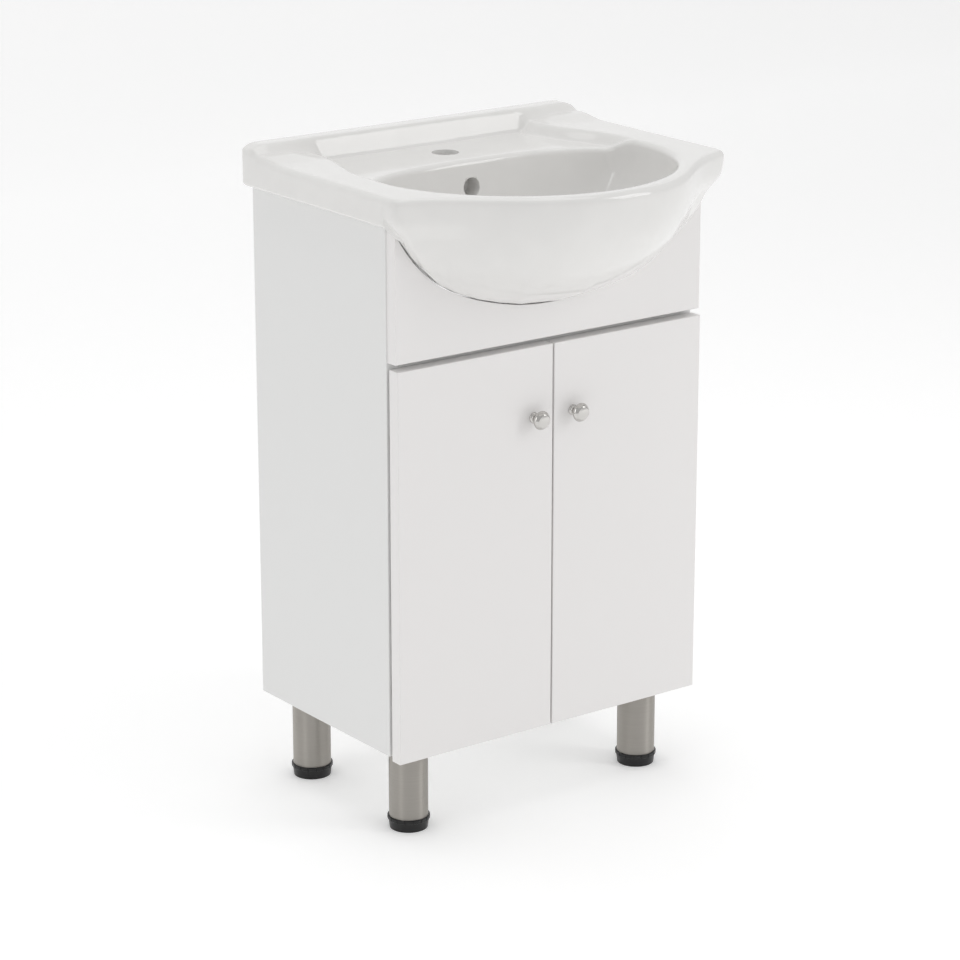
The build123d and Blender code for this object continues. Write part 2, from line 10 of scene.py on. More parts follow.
import bpy
import numpy as np
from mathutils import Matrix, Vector


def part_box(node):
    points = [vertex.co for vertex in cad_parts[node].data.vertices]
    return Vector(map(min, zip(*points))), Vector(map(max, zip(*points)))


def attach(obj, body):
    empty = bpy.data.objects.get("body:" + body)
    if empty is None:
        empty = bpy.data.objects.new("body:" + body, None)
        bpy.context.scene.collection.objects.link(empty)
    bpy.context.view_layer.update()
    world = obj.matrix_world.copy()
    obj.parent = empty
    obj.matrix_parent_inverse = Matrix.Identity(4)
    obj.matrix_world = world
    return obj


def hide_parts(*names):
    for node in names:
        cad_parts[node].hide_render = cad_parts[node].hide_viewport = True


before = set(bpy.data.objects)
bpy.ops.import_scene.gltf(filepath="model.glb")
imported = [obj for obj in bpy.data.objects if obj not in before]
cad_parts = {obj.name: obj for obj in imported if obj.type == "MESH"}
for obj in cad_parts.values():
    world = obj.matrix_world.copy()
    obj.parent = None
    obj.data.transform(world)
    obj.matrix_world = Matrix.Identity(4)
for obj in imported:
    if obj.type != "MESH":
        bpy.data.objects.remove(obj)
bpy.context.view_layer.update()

MM = 0.001

# %% [markdown]
# ## Places read from the frame
# The carcass gives the planes that everything else refers to: its front, its back, its inner
# faces. Reading them here means that a change to the design moves the looks with it.

# %% Planes of the cabinet
SIDE_LOW, SIDE_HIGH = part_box("side_panel_right")
FRONT_Y, BACK_Y = SIDE_LOW[1], SIDE_HIGH[1]
BASIN_LOW, BASIN_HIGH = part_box("basin")
FASCIA_LOW, FASCIA_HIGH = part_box("fascia_panel")
print("front", round(FRONT_Y, 4), "back", round(BACK_Y, 4), "basin top", round(BASIN_HIGH[2], 4))

# %% [markdown]
# ## Meshes from arrays
# A surface is a grid of points worked out by numpy. One function turns the grid into a mesh; it
# can close the grid round either way, and smooth shading is set for the whole piece.


# %% Grid to mesh
def grid_mesh(name, points, wrap_u=True, wrap_v=True, caps=False):
    """Makes an object from points[v, u]: each cell of the grid is one four-sided face, and the last
    row or column joins the first where that way is closed. Caps close the first and last rows."""
    rows, columns = points.shape[:2]
    index = np.arange(rows * columns).reshape(rows, columns)
    if wrap_v:
        index = np.vstack([index, index[:1]])
    if wrap_u:
        index = np.hstack([index, index[:, :1]])
    quads = np.stack([index[:-1, :-1], index[:-1, 1:], index[1:, 1:], index[1:, :-1]], axis=-1)
    mesh = bpy.data.meshes.new(name)
    faces = quads.reshape(-1, 4).tolist()
    if caps:
        faces += [list(range(columns))[::-1], list(range((rows - 1) * columns, rows * columns))]
    mesh.from_pydata(points.reshape(-1, 3).tolist(), [], faces)
    mesh.polygons.foreach_set("use_smooth", np.full(len(mesh.polygons), True))
    piece = bpy.data.objects.new(name, mesh)
    bpy.context.collection.objects.link(piece)
    return piece


def smoothstep(low, high, value):
    """Rises from 0 at low to 1 at high with level ends: 3t^2 - 2t^3."""
    t = np.clip((value - low) / (high - low), 0.0, 1.0)
    return t * t * (3.0 - 2.0 * t)


# %% [markdown]
# ## The basin
# The basin is slip-cast vitreous china: a mould gives it soft edges everywhere, and the glaze
# rounds them further. It could be sculpted, or cut from solids, but every line of it is a rule,
# so it is written as one closed surface. A ray turns about the middle of the bowl. Along each ray
# runs one profile: up the bowl, over the rim, across the deck, over the outer edge, down the
# apron or round the belly, and back under the bowl to the waste hole.
#
# First, the two outlines that each ray meets, seen from above.

# %% Outlines of the basin
HALF_WIDTH = BASIN_HIGH[0] / MM
BOWL_CENTRE = np.array([0.0, FRONT_Y / MM + 50.0])
BACK_REACH = BACK_Y / MM - BOWL_CENTRE[1]
RIM_HEIGHT = 839.5
RIM_REACH, BOW_REACH, BOW_SPREAD, BOW_POWER = 92.0, 125.0, 174.0, 2.95
BOWL_HALF, BOWL_FRONT, BOWL_BACK = 203.0, 193.0, 102.0
BOWL_FRONT_POWER, BOWL_BACK_POWER = 1.9, 2.6
CORNER_FRONT_POWER, CORNER_BACK_POWER = 22, 70
FRONT_CORNER_Y = -84.0
EXTRA_RAYS, CORNER_TURN = 4.0, 0.06


def bow(x):
    """Front edge of the rim: a shoulder line, plus a bump that falls off as
    exp(-(x / spread)^power) to both sides."""
    return RIM_REACH + BOW_REACH * np.exp(-(np.abs(x) / BOW_SPREAD) ** BOW_POWER)


def outer_edge(turn):
    """Distance from the bowl's middle to the rim's outer edge at each turn. The sides and the back
    are a rectangle with rounded corners, kept as a high-power superellipse, and the front follows
    the bow; each ray takes the nearest, found by halving."""
    dx, dy = np.sin(turn), -np.cos(turn)
    near, far = np.full_like(turn, 50.0), np.full_like(turn, 400.0)
    for _ in range(40):
        middle = (near + far) / 2
        x, y = np.abs(dx * middle), dy * middle
        front = np.maximum(-y, 0.0) / bow(x)
        back = np.maximum(y, 0.0) / BACK_REACH
        corner_front = (x / HALF_WIDTH) ** CORNER_FRONT_POWER + front ** CORNER_FRONT_POWER
        corner_back = (x / HALF_WIDTH) ** CORNER_BACK_POWER + back ** CORNER_BACK_POWER
        inside = np.where(y < 0, corner_front, corner_back) < 1.0
        near, far = np.where(inside, middle, near), np.where(inside, far, middle)
    return near


def bowl_edge(turn):
    """Distance from the bowl's middle to its rim: a superellipse, nearly round at the front and
    squarer at the back."""
    dx, dy = np.abs(np.sin(turn)), -np.cos(turn)
    n, m = BOWL_FRONT_POWER, BOWL_BACK_POWER
    front = ((dx / BOWL_HALF) ** n + (np.maximum(-dy, 0) / BOWL_FRONT) ** n) ** (-1 / n)
    back = ((dx / BOWL_HALF) ** m + (np.maximum(dy, 0) / BOWL_BACK) ** m) ** (-1 / m)
    return np.where(dy < 0, front, back)


def ray_turns(count):
    """Angles of the rays, closer together where they meet the basin's four corners."""
    fine = np.linspace(0, 2 * math.pi, 20001)
    density = np.ones_like(fine)
    for x, y in ((HALF_WIDTH, FRONT_CORNER_Y), (HALF_WIDTH, BACK_REACH)):
        corner = math.atan2(x, -y)
        for centre in (corner, 2 * math.pi - corner):
            density += EXTRA_RAYS * np.exp(-((fine - centre) / CORNER_TURN) ** 2)
    total = np.concatenate([[0], np.cumsum((density[1:] + density[:-1]) / 2)])
    return np.interp(np.linspace(0, total[-1], count, endpoint=False), total, fine)


TURNS = ray_turns(480)
OUTER = outer_edge(TURNS)
INNER = bowl_edge(TURNS)
print("rim width at the front", round(float(OUTER[0] - INNER[0]), 1), "mm")

# %% [markdown]
# The top is a height over the plan. The rim is level. Behind the bowl a deck is sunk for the tap,
# it runs out into the rim beside the bowl, and along the wall an upstand keeps splashes off.
# Each of these is a smooth step, as wide as the slope that the mould leaves there.

# %% Height of the top
DECK_DROP, DECK_HALF, DECK_FLARE, EAR_RISE, CREST_FALL = 13.5, 176.0, 35.0, 5.0, 0.35
TAP_BEHIND = 158.0
UPSTAND_HEIGHT = BASIN_HIGH[2] / MM - RIM_HEIGHT
UPSTAND_FOOT = BACK_REACH - 31.0


def top_height(x, y):
    """Height of the rim, deck, ears and upstand over a point of the plan, y counted from the
    bowl's middle: level, minus the deck's step, plus the ears' slope, up to the upstand."""
    reach = np.abs(x)
    width = DECK_HALF + DECK_FLARE * smoothstep(194.0, 40.0, y)
    sunk = smoothstep(-25.0, 62.0, y) * smoothstep(0.0, 20.0, width - reach)
    height = RIM_HEIGHT - DECK_DROP * sunk
    height = height + EAR_RISE * smoothstep(150.0, 196.0, y) * smoothstep(178.0, 214.0, reach)
    rise = smoothstep(UPSTAND_FOOT - 6.0, UPSTAND_FOOT + 9.0, y)
    ends = 1.0 - CREST_FALL * smoothstep(HALF_WIDTH - 26.0, HALF_WIDTH - 2.0, reach) ** 2
    crest = RIM_HEIGHT + UPSTAND_HEIGHT * ends
    return height + (crest - height) * rise


print("deck height", round(float(top_height(np.array(0.0), np.array(TAP_BEHIND))), 1), "mm")

# %% [markdown]
# Now the profile along each ray, in five stretches. The bowl and the belly are superellipses,
# which fall steeply at the edge and level out below. The two edges are quarter rounds. At the
# front, the outside is the belly. At the sides and the back, it is the apron, a level underside
# that rests on the boards, and the shell of the bowl.

# %% Profile along the rays
BOWL_FLOOR = 697.5
BELLY_FLOOR = 667.0
APRON_BOTTOM = BASIN_LOW[2] / MM + 138.5
WASTE_R = 22.5
BOWL_ROLL = 8.0
SHELL = 12.0
BOWL_POWER, SHELL_POWER = 2.5, 2.2
SHELL_FLOOR = 681.0
UNDER_EDGE_R = 5.0
DUCT_DEPTH = 26.0
BOWL_ROWS, DECK_ROWS, OUTSIDE_ROWS, APRON_ROWS, UNDER_ROWS = 46, 66, 64, 14, 12


def curve_profile(power, count):
    """Scale and depth of a superellipse quarter, both from 0 to 1, evenly spread along it."""
    t = np.linspace(0, math.pi / 2, count)[:, None]
    return np.sin(t) ** (2 / power), np.cos(t) ** (2 / power)


def on_rays(radius):
    """Plan position of a radius on every ray."""
    return radius * np.sin(TURNS), -radius * np.cos(TURNS)


def basin_rows():
    """Rows from the waste hole up the bowl, over the rim and round its outer edge, as radius and
    height over the rays. Also returns the height below that edge, and 1 on the rays at the front."""
    rows = []
    lip_x, lip_y = on_rays(INNER + BOWL_ROLL)
    lip = top_height(lip_x, lip_y)
    # the bowl, from the waste hole's edge up to the roll
    scale, depth = curve_profile(BOWL_POWER, BOWL_ROWS)
    wall_top = lip - BOWL_ROLL
    radius = INNER * scale
    floor_blend = smoothstep(20.0, 70.0, radius)
    radius = np.maximum(radius, 0.0) * floor_blend + (WASTE_R + 3.0 + radius * 0.65) * (1 - floor_blend)
    radius = np.minimum(radius, INNER)
    bowl = wall_top - (wall_top - BOWL_FLOOR) * depth
    rows.append((np.full_like(INNER, WASTE_R), np.full_like(INNER, BOWL_FLOOR - 3.0)))
    rows += [(radius[i], bowl[i]) for i in range(len(radius))]
    # the roll from the bowl's wall onto the rim
    for angle in np.linspace(0, math.pi / 2, 8)[1:]:
        rows.append((INNER + BOWL_ROLL * (1 - math.cos(angle)),
                     wall_top + BOWL_ROLL * math.sin(angle)))
    # across the rim and the deck, closer together near the upstand
    edge_r = 8.5 - 5.0 * smoothstep(BACK_REACH - 12.0, BACK_REACH - 2.0, on_rays(OUTER)[1])
    start, stop = INNER + BOWL_ROLL, OUTER - edge_r
    steps = np.linspace(0, 1, DECK_ROWS)[1:]
    steps = steps + 0.10 * np.sin(steps * math.pi)
    for step in steps:
        radius = start + (stop - start) * step
        rows.append((radius, top_height(*on_rays(radius))))
    edge_top = rows[-1][1]
    # the quarter round at the outer edge
    for angle in np.linspace(0, math.pi / 2, 9)[1:]:
        rows.append((stop + edge_r * math.sin(angle), edge_top - edge_r * (1 - math.cos(angle))))
    side_y = on_rays(OUTER)[1]
    return rows, edge_top - edge_r, smoothstep(-70.0, -80.0, side_y)


# half outline of the fascia's cut-out, and one point beyond its end
CUTOUT = np.array([(0, 674.5), (49, 677.5), (82, 684.0), (113, 692.5), (146, 705.0),
                   (175, 720.5), (206, 747.0), (228.5, 776.0), (240.5, 797.0), (262, 840.0)])


def cutout_height(x):
    """Height of the cut-out's edge over x: straight lines between the points of its outline."""
    return np.interp(np.abs(x), CUTOUT[:, 0], CUTOUT[:, 1])


def cutout_gap(x):
    """Room between the basin and the cut-out: 0.8 mm in the middle and 3.2 mm on the flanks."""
    return 0.8 + 2.4 * smoothstep(165.0, 195.0, np.abs(x))


FASCIA_PLANE = FASCIA_LOW[1] / MM - BOWL_CENTRE[1]
# below the rim's corners the belly steps in by this much, outside this radius
CORNER_STEP, CORNER_STEP_HEIGHT, CORNER_STEP_RADIUS = 12.0, 800.0, 90.0
# the lift over the cut-out ends at this depth and half width
LIFT_BACK, LIFT_HALF = 30.0, 236.0


def belly_power(edge_height, step):
    """Power of the superellipse on each ray that makes the belly meet the cut-out at the fascia:
    the n that solves (crossing / outer)^n + (depth there / full depth)^n = 1, by halving."""
    crossing = np.minimum(FASCIA_PLANE / -np.cos(TURNS), OUTER)
    crossing = np.where(np.cos(TURNS) > 0.05, crossing, 0.5 * OUTER)
    across = crossing * np.sin(TURNS)
    height = cutout_height(across) + cutout_gap(across)
    drop = np.clip((edge_height - height) / (edge_height - BELLY_FLOOR), 0.05, 0.98)
    reach = np.clip((crossing + step) / OUTER, 0.05, 0.98)
    low, high = np.full_like(OUTER, 1.3), np.full_like(OUTER, 2.6)
    for _ in range(30):
        middle = (low + high) / 2
        outside = reach ** middle + drop ** middle > 1.0
        low, high = np.where(outside, middle, low), np.where(outside, high, middle)
    return low


def outside_rows(edge_height, front):
    """Rows below the outer edge, down to the waste hole: belly where front is 1, apron, underside
    and bowl shell where front is 0."""
    # belly: from the edge inwards by the superellipse law
    step = CORNER_STEP * smoothstep(150.0, 240.0, np.abs(on_rays(OUTER)[0]))
    scale, depth = curve_profile(belly_power(edge_height, step), OUTSIDE_ROWS)
    belly_radius = OUTER * scale[::-1]
    belly = edge_height - (edge_height - BELLY_FLOOR) * depth[::-1]
    stepped = smoothstep(CORNER_STEP_HEIGHT + 12.0, CORNER_STEP_HEIGHT - 16.0, belly)
    belly_radius = belly_radius - step * stepped * (belly_radius > CORNER_STEP_RADIUS)
    # apron, underside and shell
    apron_z = np.linspace(0, 1, APRON_ROWS)[:, None]
    apron = edge_height + (APRON_BOTTOM + UNDER_EDGE_R - edge_height) * apron_z
    apron_radius = OUTER + 0.0 * apron_z
    angles = np.linspace(0, math.pi / 2, 7)[1:, None]
    round_radius = OUTER - UNDER_EDGE_R * (1 - np.cos(angles))
    round_z = APRON_BOTTOM + UNDER_EDGE_R * (1 - np.sin(angles)) + 0.0 * OUTER
    duct = DUCT_DEPTH * smoothstep(46.0, 26.0, np.abs(on_rays(INNER)[0])) * (np.cos(TURNS) < 0)
    shell_start = INNER + SHELL + duct
    inward = np.linspace(0, 1, UNDER_ROWS)[1:, None]
    under_radius = (OUTER - UNDER_EDGE_R) + (shell_start - OUTER + UNDER_EDGE_R) * inward
    under_z = APRON_BOTTOM + 0.0 * under_radius
    rest = OUTSIDE_ROWS - APRON_ROWS - len(angles) - (UNDER_ROWS - 1)
    scale, depth = curve_profile(SHELL_POWER, rest + 1)
    shell_radius = shell_start * scale[::-1][1:]
    shell_z = APRON_BOTTOM - (APRON_BOTTOM - SHELL_FLOOR) * depth[::-1][1:] + 0.0 * shell_radius
    side_radius = np.vstack([apron_radius, round_radius, under_radius, shell_radius])
    side_z = np.vstack([apron, round_z, under_z, shell_z])
    radius = belly_radius * front + side_radius * (1 - front)
    height = belly * front + side_z * (1 - front)
    radius = np.maximum(radius, WASTE_R + 12.0 * smoothstep(0.0, 60.0, radius))
    # where it passes through the fascia, the surface keeps above the cut-out
    x, y = on_rays(radius)
    inside = smoothstep(FASCIA_PLANE - 3.0, FASCIA_PLANE + 1.0, y)
    inside = inside * (y < LIFT_BACK) * (np.abs(x) < LIFT_HALF)
    lifted = np.maximum(height, cutout_height(x) + cutout_gap(x))
    height = height + (lifted - height) * inside
    rows = [(radius[i], height[i]) for i in range(1, OUTSIDE_ROWS)]
    rows.append((np.full_like(OUTER, WASTE_R), rows[-1][1] - 2.0))
    return rows


# %% Build the basin's surface
def make_basin():
    """Stacks the rows into one grid that closes both ways."""
    rows, edge_height, front = basin_rows()
    rows += outside_rows(edge_height, front)
    radius = np.array([row[0] for row in rows])
    height = np.array([row[1] for row in rows])
    x, y = on_rays(radius)
    points = np.stack([x, y + BOWL_CENTRE[1], height], axis=-1) * MM
    return grid_mesh("glazed_basin", points[:, ::-1])


basin = make_basin()
print("basin faces", len(basin.data.polygons))

# %% [markdown]
# The holes are cut with the Boolean modifier, because a round hole through a curved surface is
# what that tool does best. The tap hole goes through the deck. The overflow is a blind hole in the
# thicker wall behind the bowl, which stands for its duct.


# %% Cut the holes
def cutter(name, radius, start, direction, length, segments=64):
    """A hidden cylinder from a start point along a direction, all in millimetres."""
    bpy.ops.mesh.primitive_cylinder_add(vertices=segments, radius=radius * MM, depth=length * MM)
    tool = bpy.context.object
    tool.name = name
    axis = Vector(direction).normalized()
    turn = axis.to_track_quat("Z", "Y").to_matrix().to_4x4()
    place = Vector(start) * MM + axis * length * MM / 2
    turn.translation = place
    tool.data.transform(turn)
    return tool


def cut(piece, tool):
    """Subtracts a closed tool from a piece and deletes the tool."""
    modifier = piece.modifiers.new("hole", "BOOLEAN")
    modifier.operation, modifier.object, modifier.solver = "DIFFERENCE", tool, "EXACT"
    bpy.context.view_layer.objects.active = piece
    bpy.ops.object.select_all(action="DESELECT")
    piece.select_set(True)
    bpy.ops.object.modifier_apply(modifier="hole")
    bpy.data.objects.remove(tool)


TAP_Y = BOWL_CENTRE[1] + TAP_BEHIND
TAP_R, OVERFLOW_R = 17.5, 12.5
TAP_CUT_FROM, TAP_CUT_LENGTH = 780.0, 80.0
OVERFLOW_FROM = (0, BOWL_CENTRE[1] + 60.0, 790.0)
OVERFLOW_CUT_LENGTH = 66.0
cut(basin, cutter("tap_cutter", TAP_R, (0, TAP_Y, TAP_CUT_FROM), (0, 0, 1), TAP_CUT_LENGTH))
cut(basin, cutter("overflow_cutter", OVERFLOW_R, OVERFLOW_FROM, (0, 1, 0), OVERFLOW_CUT_LENGTH))
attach(basin, "cabinet")
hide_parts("basin")
print("basin after cutting", len(basin.data.polygons))

# %% [markdown]
# ## The knobs
# Each knob is turned from brass bar on a lathe: a rosette against the door, a waisted neck, a
# round rim, a bevel and an almost flat face. A turned piece is a profile carried round an axis.

# %% Turn the knobs
SIDES = ["left", "right"]


def knob_profile():
    """Radius and height in millimetres from the door outwards: the neck is half a cosine wave from
    4.8 to 9.8 mm, the rim an arc of 2.4 mm, and the face a dome that rises 0.6 mm."""
    rosette = [(6.9, 0.0), (6.9, 1.3), (6.4, 1.8), (5.6, 2.4), (4.9, 3.6)]
    t = np.linspace(0, math.pi, 14)
    neck = [(4.8 + 2.5 * (1 - math.cos(a)), 4.4 + 9.0 * a / math.pi) for a in t]
    rim = [(9.8 + 2.4 * math.sin(a), 16.0 - 2.4 * math.cos(a)) for a in np.linspace(0.15, 1.9, 12)]
    bevel = [(11.2, 18.6), (9.4, 20.9), (9.1, 21.3), (8.7, 21.7), (8.2, 21.9)]
    face = [(8.2 * (1 - k), 21.9 + 0.6 * (1 - (1 - k) ** 2)) for k in np.linspace(0.08, 0.95, 12)]
    return np.array(rosette + neck + rim + bevel + face)


def turn_knob(side, columns=72):
    """Carries the profile round the axis through the middle of the knob's box."""
    low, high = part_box(f"knob_{side}")
    profile = knob_profile() * MM
    turn = np.linspace(0, 2 * math.pi, columns, endpoint=False)
    radius, rise = profile[:, :1], profile[:, 1:]
    x = (low[0] + high[0]) / 2 + radius * np.cos(turn)
    z = (low[2] + high[2]) / 2 + radius * np.sin(turn)
    y = high[1] - rise + 0.0 * x
    knob = grid_mesh(f"turned_knob_{side}", np.stack([x, y, z], axis=-1), wrap_v=False, caps=True)
    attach(knob, f"{side}_door")
    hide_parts(f"knob_{side}")
    return knob


knobs = [turn_knob(side) for side in SIDES]
print("knob faces", len(knobs[0].data.polygons))

# %% [markdown]
# ## Materials
# Each material is named for what the real one is and how its surface was made. Colours are sRGB
# hex values, which one function turns to linear. One helper adds a node with its settings and
# its links, and every material below is built with it.


# %% Helpers for node trees
def linear(colour):
    """An sRGB hex colour as linear RGBA: below 0.04045 divide by 12.92, else ((c+0.055)/1.055)^2.4."""
    channels = [int(colour[i:i + 2], 16) / 255 for i in (1, 3, 5)]
    return [c / 12.92 if c <= 0.04045 else ((c + 0.055) / 1.055) ** 2.4 for c in channels] + [1.0]


def add(tree, kind, settings=None, **inputs):
    """Adds one node. settings are its properties, and inputs are its sockets by name or number,
    each a constant or another node's output to link from."""
    node = tree.nodes.new(kind)
    for name, value in (settings or {}).items():
        setattr(node, name, value)
    for name, value in inputs.items():
        key = int(name[1:]) if name[0] == "_" else name.replace("_", " ")
        socket = node.inputs[key]
        if isinstance(value, bpy.types.NodeSocket):
            tree.links.new(value, socket)
        else:
            socket.default_value = value
    return node


def new_material(name, colour, roughness, metallic=0.0, ior=None, coat=0.0):
    """A material with a Principled shader set to constants; the caller links the pattern."""
    material = bpy.data.materials.new(name)
    material.use_nodes = True
    material.diffuse_color = linear(colour)
    tree = material.node_tree
    shader = tree.nodes["Principled BSDF"]
    shader.inputs["Base Color"].default_value = linear(colour)
    shader.inputs["Roughness"].default_value = roughness
    shader.inputs["Metallic"].default_value = metallic
    if ior is not None:
        shader.inputs["IOR"].default_value = ior
    shader.inputs["Coat Weight"].default_value = coat
    return material, tree, shader


def assign(nodes, material):
    """Gives CAD nodes a better material in place of the plain one they came with."""
    for node in nodes:
        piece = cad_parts[node]
        piece.data.materials.clear()
        piece.data.materials.append(material)


def paint(piece, material):
    """Gives a new piece its material."""
    piece.data.materials.clear()
    piece.data.materials.append(material)


# %% [markdown]
# ### Glazed vitreous china
# Fired glaze is glass over a white body: IOR 1.5, very smooth, with a faint long wave in it where
# the glaze ran before it set. The wave is bump with waves of about 40 mm, low enough to bend
# reflections without showing as dents. The body's white varies a little where the glaze is thin.

# %% Glazed ceramic
def glazed_china():
    material, tree, shader = new_material("glazed_vitreous_china", "#e8e7e5", 0.07, ior=1.52)
    place = add(tree, "ShaderNodeTexCoord").outputs["Object"]
    wave = add(tree, "ShaderNodeTexNoise", Vector=place, Scale=25.0, Detail=2.0, Roughness=0.4)
    speck = add(tree, "ShaderNodeTexNoise", Vector=place, Scale=900.0, Detail=2.0)
    tone = add(tree, "ShaderNodeValToRGB", Fac=wave.outputs["Fac"])
    tone.color_ramp.elements[0].color = linear("#e5e4e2")
    tone.color_ramp.elements[1].color = linear("#ebeae8")
    tree.links.new(tone.outputs["Color"], shader.inputs["Base Color"])
    long_wave = add(tree, "ShaderNodeBump", Strength=0.06, Distance=0.002, Height=wave.outputs["Fac"])
    peel = add(tree, "ShaderNodeBump", Strength=0.02, Distance=0.0002, Height=speck.outputs["Fac"],
               Normal=long_wave.outputs["Normal"])
    tree.links.new(peel.outputs["Normal"], shader.inputs["Normal"])
    return material


paint(basin, glazed_china())

# %% [markdown]
# ### Melamine-faced board and lacquered fronts
# The carcass is chipboard faced with white melamine paper, pressed against a satin plate: an even
# white with a very fine tooth. The fronts are a little brighter and smoother, as lacquer over MDF.

# %% White boards
def white_board(name, colour, roughness, tooth):
    """Satin white facing: a fine tooth about 0.4 mm apart, drawn as bump, and a faint drift in
    roughness of a few hundred millimetres, as pressed boards have."""
    material, tree, shader = new_material(name, colour, roughness, ior=1.5)
    place = add(tree, "ShaderNodeTexCoord").outputs["Object"]
    fine = add(tree, "ShaderNodeTexNoise", Vector=place, Scale=1.0 / (0.4 * MM), Detail=2.0)
    drift = add(tree, "ShaderNodeTexNoise", Vector=place, Scale=6.0, Detail=3.0)
    rough = add(tree, "ShaderNodeMapRange", Value=drift.outputs["Fac"], To_Min=roughness - 0.04,
                To_Max=roughness + 0.04)
    tree.links.new(rough.outputs["Result"], shader.inputs["Roughness"])
    bump = add(tree, "ShaderNodeBump", Strength=tooth, Distance=0.0001, Height=fine.outputs["Fac"])
    tree.links.new(bump.outputs["Normal"], shader.inputs["Normal"])
    return material


melamine = white_board("melamine_faced_board", "#e8e8e7", 0.42, 0.25)
lacquer = white_board("lacquered_mdf_front", "#edebea", 0.32, 0.12)
assign(["side_panel_left", "side_panel_right", "bottom_panel", "rear_top_rail",
        "rear_bottom_rail", "front_rail", "shelf"], melamine)
assign(["fascia_panel", "door_left", "door_right"], lacquer)

# %% [markdown]
# ### Metals
# The knobs are polished and chrome plated, so they are nearly a mirror. The legs are stainless
# tube brushed on a belt: the scratches run round the tube, so the highlight stretches along it,
# which the shader's anisotropy gives once it is told that the scratches run round the Z axis.
# Small hinge parts and screws are nickel or zinc plated, which is bright but slightly cloudy.

# %% Chrome, brushed stainless and plated steel
def plated(name, colour, roughness, cloud):
    """Plated metal: roughness drifts by cloud over a few millimetres."""
    material, tree, shader = new_material(name, colour, roughness, metallic=1.0)
    place = add(tree, "ShaderNodeTexCoord").outputs["Object"]
    noise = add(tree, "ShaderNodeTexNoise", Vector=place, Scale=180.0, Detail=4.0)
    rough = add(tree, "ShaderNodeMapRange", Value=noise.outputs["Fac"], To_Min=roughness,
                To_Max=roughness + cloud)
    tree.links.new(rough.outputs["Result"], shader.inputs["Roughness"])
    return material


def brushed_stainless():
    """Belt-brushed tube: noise squeezed along Z gives fine rings 0.3 mm apart, used for bump,
    roughness and a little tone."""
    material, tree, shader = new_material("brushed_stainless_tube", "#aca8a2", 0.46, metallic=1.0)
    place = add(tree, "ShaderNodeTexCoord").outputs["Object"]
    rings = add(tree, "ShaderNodeMapping", Vector=place, Scale=(12.0, 12.0, 1.0 / (0.3 * MM)))
    noise = add(tree, "ShaderNodeTexNoise", Vector=rings.outputs["Vector"], Scale=1.0, Detail=5.0,
                Roughness=0.7)
    tone = add(tree, "ShaderNodeValToRGB", Fac=noise.outputs["Fac"])
    tone.color_ramp.elements[0].color = linear("#9f9b95")
    tone.color_ramp.elements[1].color = linear("#b9b5af")
    tree.links.new(tone.outputs["Color"], shader.inputs["Base Color"])
    rough = add(tree, "ShaderNodeMapRange", Value=noise.outputs["Fac"], To_Min=0.42, To_Max=0.5)
    tree.links.new(rough.outputs["Result"], shader.inputs["Roughness"])
    bump = add(tree, "ShaderNodeBump", Strength=0.04, Distance=0.00005, Height=noise.outputs["Fac"])
    tree.links.new(bump.outputs["Normal"], shader.inputs["Normal"])
    around = add(tree, "ShaderNodeTangent", {"direction_type": "RADIAL", "axis": "Z"})
    tree.links.new(around.outputs["Tangent"], shader.inputs["Tangent"])
    shader.inputs["Anisotropic"].default_value = 0.85
    shader.inputs["Anisotropic Rotation"].default_value = 0.25
    return material


LEGS = ["front_left", "front_right", "rear_left", "rear_right"]
chrome = plated("polished_chrome_plate", "#c9c7c4", 0.04, 0.03)
nickel = plated("nickel_plated_steel", "#c9c4ba", 0.2, 0.12)
zinc = plated("zinc_plated_steel", "#bfc3c8", 0.28, 0.14)
stainless = brushed_stainless()
for knob in knobs:
    paint(knob, chrome)
assign([f"leg_tube_{leg}" for leg in LEGS], stainless)
assign([f"hinge_{part}_{level}_{side}" for part in ("cup", "arm", "plate")
        for level in ("upper", "lower") for side in SIDES], nickel)
assign(["fascia_screws", "leg_screws", "hinge_plate_screws", "hinge_cup_screws_left",
        "hinge_cup_screws_right", "knob_screw_left", "knob_screw_right", "hinge_pins_left",
        "hinge_pins_right", "shelf_pins", "cam_locks", "cam_bolts"]
       + [f"leg_plate_{leg}" for leg in LEGS], zinc)

# %% [markdown]
# ### Plastic, rubber, sealant and wood
# The feet are injection-moulded polypropylene with a fine spark-eroded texture. The bumpers are
# soft clear rubber, the sealant cured white silicone, and the dowels turned beech.

# %% Moulded plastic and the small materials
def moulded_plastic(name, colour, roughness):
    """Moulded plastic with a spark-eroded tooth 0.5 mm apart."""
    material, tree, shader = new_material(name, colour, roughness, ior=1.49)
    place = add(tree, "ShaderNodeTexCoord").outputs["Object"]
    tooth = add(tree, "ShaderNodeTexNoise", Vector=place, Scale=1.0 / (0.5 * MM), Detail=2.0)
    bump = add(tree, "ShaderNodeBump", Strength=0.3, Distance=0.0001, Height=tooth.outputs["Fac"])
    tree.links.new(bump.outputs["Normal"], shader.inputs["Normal"])
    return material


def beech():
    """Turned beech: rings of grain stretched along the dowel."""
    material, tree, shader = new_material("turned_beech", "#c79a68", 0.55, ior=1.5)
    place = add(tree, "ShaderNodeTexCoord").outputs["Object"]
    grain = add(tree, "ShaderNodeMapping", Vector=place, Scale=(60.0, 900.0, 900.0))
    noise = add(tree, "ShaderNodeTexNoise", Vector=grain.outputs["Vector"], Scale=1.0, Detail=4.0)
    tone = add(tree, "ShaderNodeValToRGB", Fac=noise.outputs["Fac"])
    tone.color_ramp.elements[0].color = linear("#b5854f")
    tone.color_ramp.elements[1].color = linear("#d6ae7e")
    tree.links.new(tone.outputs["Color"], shader.inputs["Base Color"])
    return material


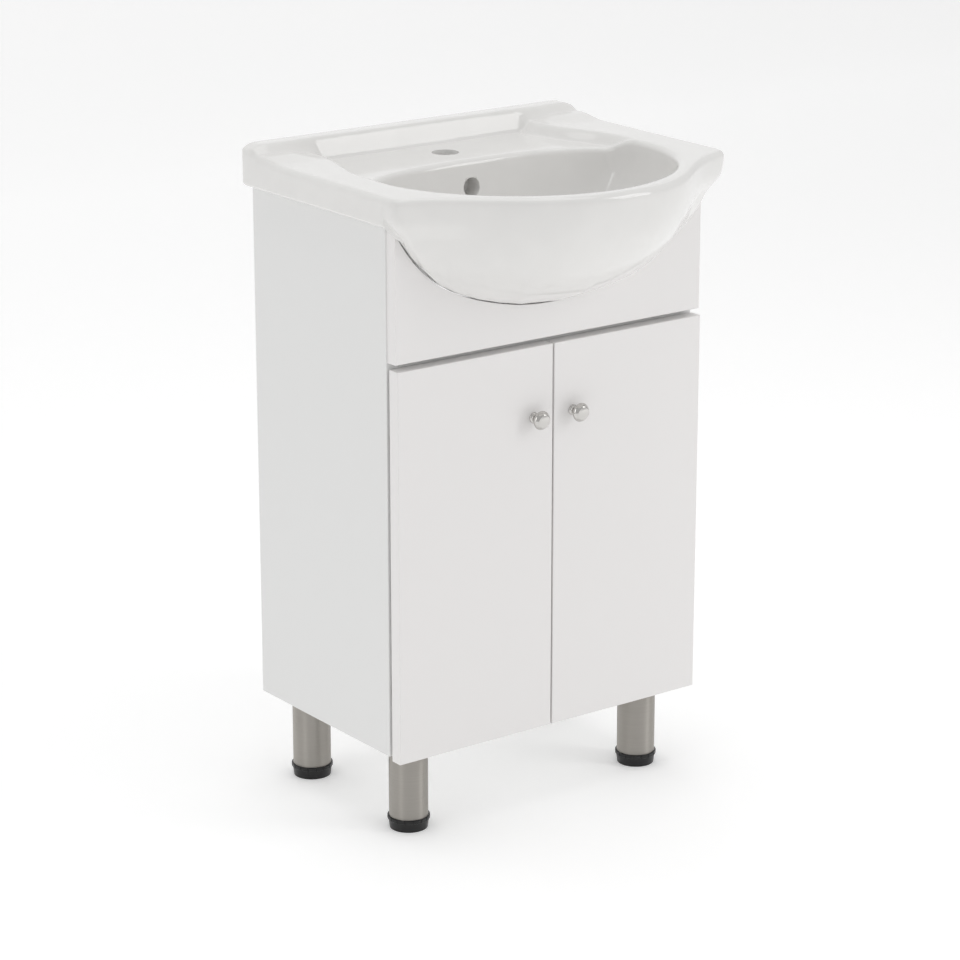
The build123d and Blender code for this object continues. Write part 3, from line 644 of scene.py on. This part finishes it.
black = moulded_plastic("moulded_black_polypropylene", "#0b0b0c", 0.34)
assign([f"foot_{leg}" for leg in LEGS] + [f"leg_bush_{leg}" for leg in LEGS], black)
assign(["door_bumpers"], moulded_plastic("soft_clear_rubber", "#dfe0de", 0.35))
assign(["sealant_bead"], moulded_plastic("cured_white_silicone", "#e9e9e7", 0.45))
assign(["dowels"], beech())

# %% [markdown]
# ## Floor, light and camera
# A white floor that curves up behind, so that no horizon cuts the picture, and glows faintly like
# lit paper. A tall strip lamp stands to the right and front, a narrower and weaker one fills from
# the left, and a square one hangs above. The world adds an even white, as in a light tent. The
# camera looks down from the front left with a long lens.

# %% Studio
PAPER_GLOW = 0.20
LAMP_AIM = (0, 0, 0.5)
TENT_GLOW = 0.58


def make_sweep():
    """Floor and backdrop as one sheet: level, then a quarter round, then upright."""
    bend, back = 1.5, 3.5
    turn = np.linspace(0, math.pi / 2, 25)
    y = np.concatenate([[-6.0], back + bend * np.sin(turn), [back + bend]])
    z = np.concatenate([[0.0], bend * (1 - np.cos(turn)), [6.0]])
    x = np.linspace(-7.0, 7.0, 3)
    points = np.stack(np.broadcast_arrays(x[None, :], y[:, None], z[:, None]), axis=-1)
    sweep = grid_mesh("sweep", points, wrap_u=False, wrap_v=False)
    material, _, shader = new_material("lit_white_paper", "#ffffff", 0.9)
    shader.inputs["Emission Color"].default_value = (1, 1, 1, 1)
    shader.inputs["Emission Strength"].default_value = PAPER_GLOW
    paint(sweep, material)


def make_lamp(name, place, aim, width, height, power):
    """An area lamp of a width and height in metres and a power in watts, facing a point."""
    lamp = bpy.data.lights.new(name, "AREA")
    lamp.shape = "RECTANGLE"
    lamp.size, lamp.size_y = width, height
    lamp.energy = power
    holder = bpy.data.objects.new(name, lamp)
    bpy.context.collection.objects.link(holder)
    holder.location = place
    holder.rotation_euler = (Vector(aim) - Vector(place)).to_track_quat("-Z", "Y").to_euler()


make_sweep()
make_lamp("key", (2.2, -2.6, 1.9), LAMP_AIM, 0.8, 2.4, 20.0)
make_lamp("fill", (-3.2, -0.6, 1.5), LAMP_AIM, 0.4, 2.4, 7.0)
make_lamp("top", (0.0, 0.2, 3.2), LAMP_AIM, 2.4, 2.4, 20.0)
world = bpy.data.worlds.new("light_tent")
bpy.context.scene.world = world
world.use_nodes = True
world.node_tree.nodes["Background"].inputs["Color"].default_value = (1, 1, 1, 1)
world.node_tree.nodes["Background"].inputs["Strength"].default_value = TENT_GLOW

CAMERA_TURN, CAMERA_RISE, CAMERA_DISTANCE = -36.55, 17.18, 4.18
CAMERA_LENS, SENSOR_WIDTH, CLIP_END = 123.3, 36.0, 50.0
CAMERA_AIM = Vector((-0.0574, -0.0066, 0.4346))
camera_data = bpy.data.cameras.new("camera")
camera_data.lens = CAMERA_LENS
camera_data.sensor_width = SENSOR_WIDTH
camera_data.clip_end = CLIP_END
camera = bpy.data.objects.new("camera", camera_data)
bpy.context.collection.objects.link(camera)
turn, rise = math.radians(CAMERA_TURN), math.radians(CAMERA_RISE)
away = Vector((math.sin(turn) * math.cos(rise), -math.cos(turn) * math.cos(rise), math.sin(rise)))
camera.location = CAMERA_AIM + away * CAMERA_DISTANCE
camera.rotation_euler = (-away).to_track_quat("-Z", "Y").to_euler()
bpy.context.scene.camera = camera
bpy.context.scene.view_settings.view_transform = "Standard"
